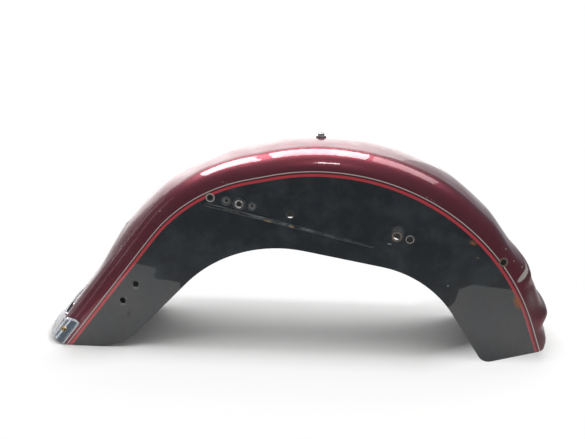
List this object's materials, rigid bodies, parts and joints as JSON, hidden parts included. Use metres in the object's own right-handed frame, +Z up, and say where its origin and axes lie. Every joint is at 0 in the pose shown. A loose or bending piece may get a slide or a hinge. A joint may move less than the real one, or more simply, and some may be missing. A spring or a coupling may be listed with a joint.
{
  "type": "motorcycle rear fender",
  "caption": "Deep pressed-steel rear fender for a cruiser motorcycle, with slanted rows of side mounting holes, a flat lamp seat and a bright tip round the tail.",
  "frame": {"origin": "middle of the underside of the bounding box, on the floor the fender rests on", "axes": "+X towards the bike's front along the fender, +Y to the bike's left, +Z up"},
  "size_m": [0.9292, 0.205, 0.3865],
  "materials": {
    "paint": "gloss two-tone paint with pinstripes",
    "chrome": "polished",
    "bare_steel": "dull plated",
    "black_steel": "black plated"
  },
  "bodies": {
    "root": {"fender_shell": "paint", "tip_trim": "chrome", "tip_trim_rivets": "bare_steel", "seat_nut": "black_steel", "seat_nut_washer": "bare_steel", "support_bushings": "bare_steel", "support_washers": "black_steel", "strut_weld_nuts": "bare_steel"}
  },
  "joints": []
}
